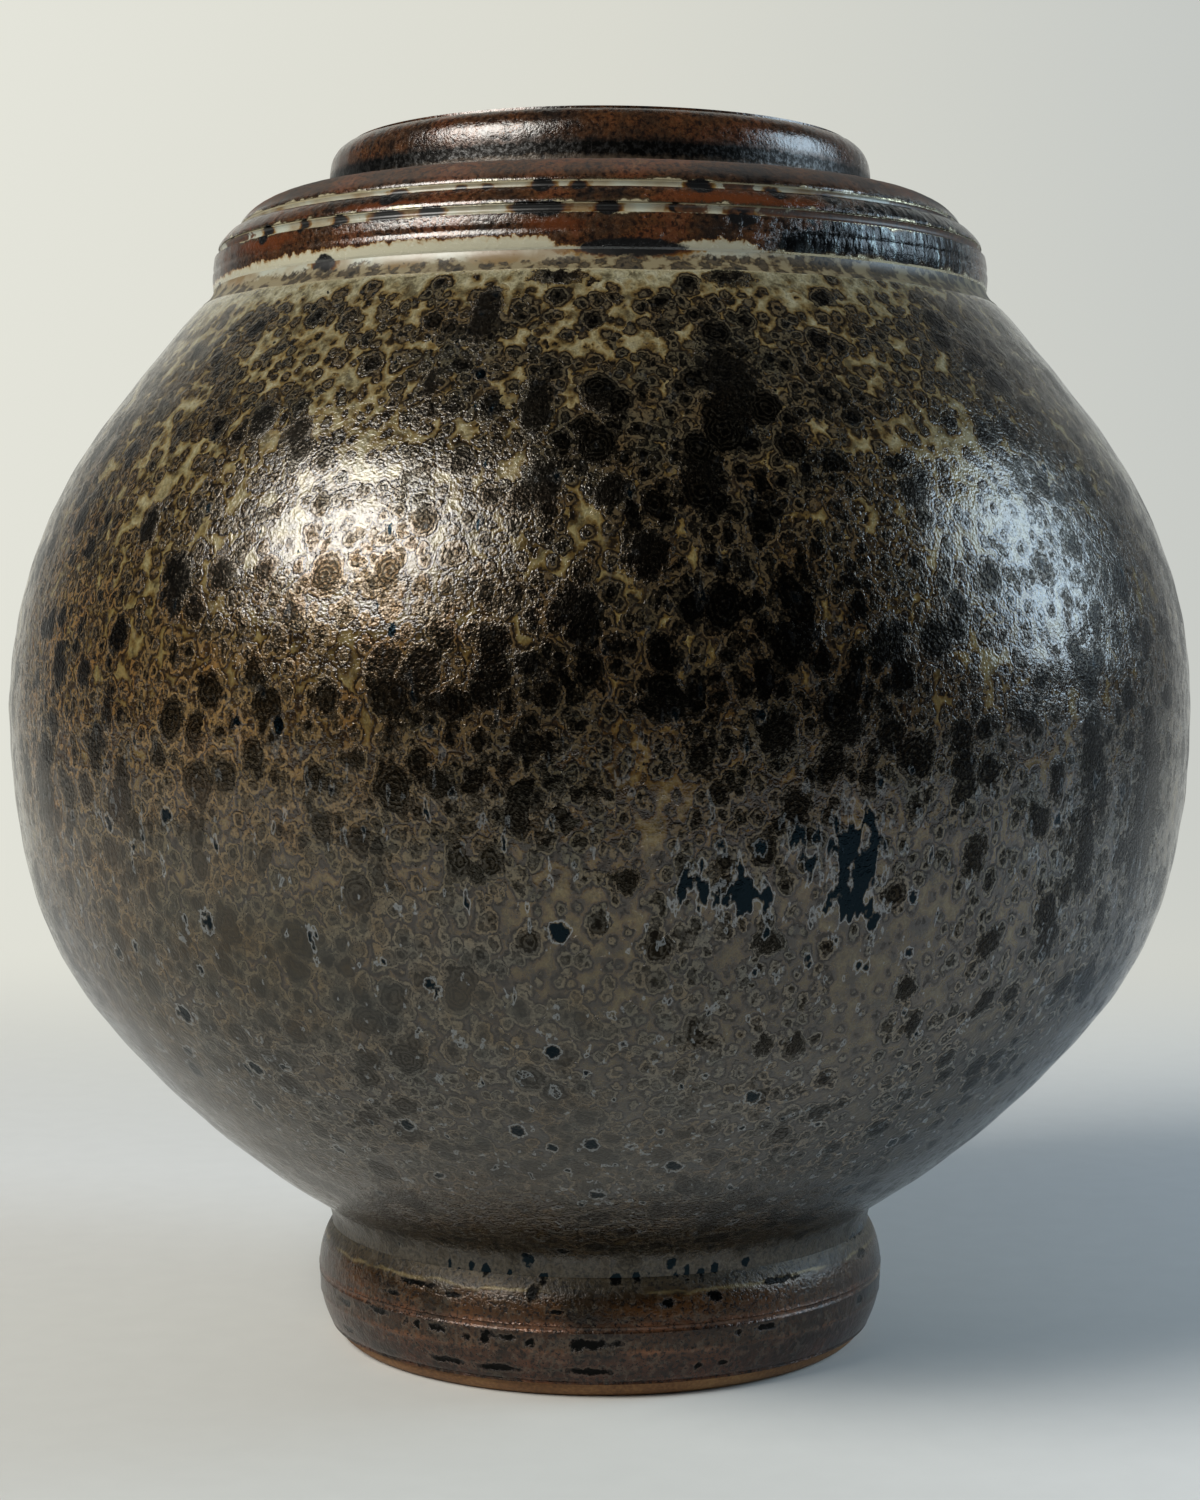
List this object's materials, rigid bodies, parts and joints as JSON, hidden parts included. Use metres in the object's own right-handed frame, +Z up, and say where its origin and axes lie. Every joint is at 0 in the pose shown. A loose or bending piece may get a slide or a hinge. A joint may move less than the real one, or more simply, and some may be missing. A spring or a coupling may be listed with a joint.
{
  "type": "moon jar",
  "caption": "Round-bellied glazed stoneware jar with a stepped, beaded shoulder, a short open collar and a turned foot ring, for flowers or display.",
  "frame": {"origin": "centre of the foot's bearing face, on the jar's axis", "axes": "+Z up along the axis the jar was turned on; the pictured side faces -Y"},
  "size_m": [0.178, 0.178, 0.1807],
  "materials": {
    "stoneware_clay": "bare fired iron-bearing stoneware, wiped clean of glaze",
    "joining_slip": "fired slip of the same clay",
    "cream_glaze": "satin cream glaze under the iron glaze",
    "iron_glaze": "glossy iron-brown oil spot glaze",
    "liner_glaze": "glossy dark brown liner glaze"
  },
  "bodies": {
    "root": {"foot_ring": "stoneware_clay", "lower_bowl": "stoneware_clay", "upper_bowl": "stoneware_clay", "shoulder_ring": "stoneware_clay", "collar": "stoneware_clay", "foot_slip_seam": "joining_slip", "belly_slip_seam": "joining_slip", "shoulder_slip_seam": "joining_slip", "collar_slip_seam": "joining_slip", "cream_glaze": "cream_glaze", "foot_iron_glaze": "iron_glaze", "body_iron_glaze": "iron_glaze", "ridge_iron_glaze": "iron_glaze", "middle_bead_iron_glaze": "iron_glaze", "upper_bead_iron_glaze": "iron_glaze", "collar_iron_glaze": "iron_glaze", "inside_liner_glaze": "liner_glaze"}
  },
  "joints": []
}
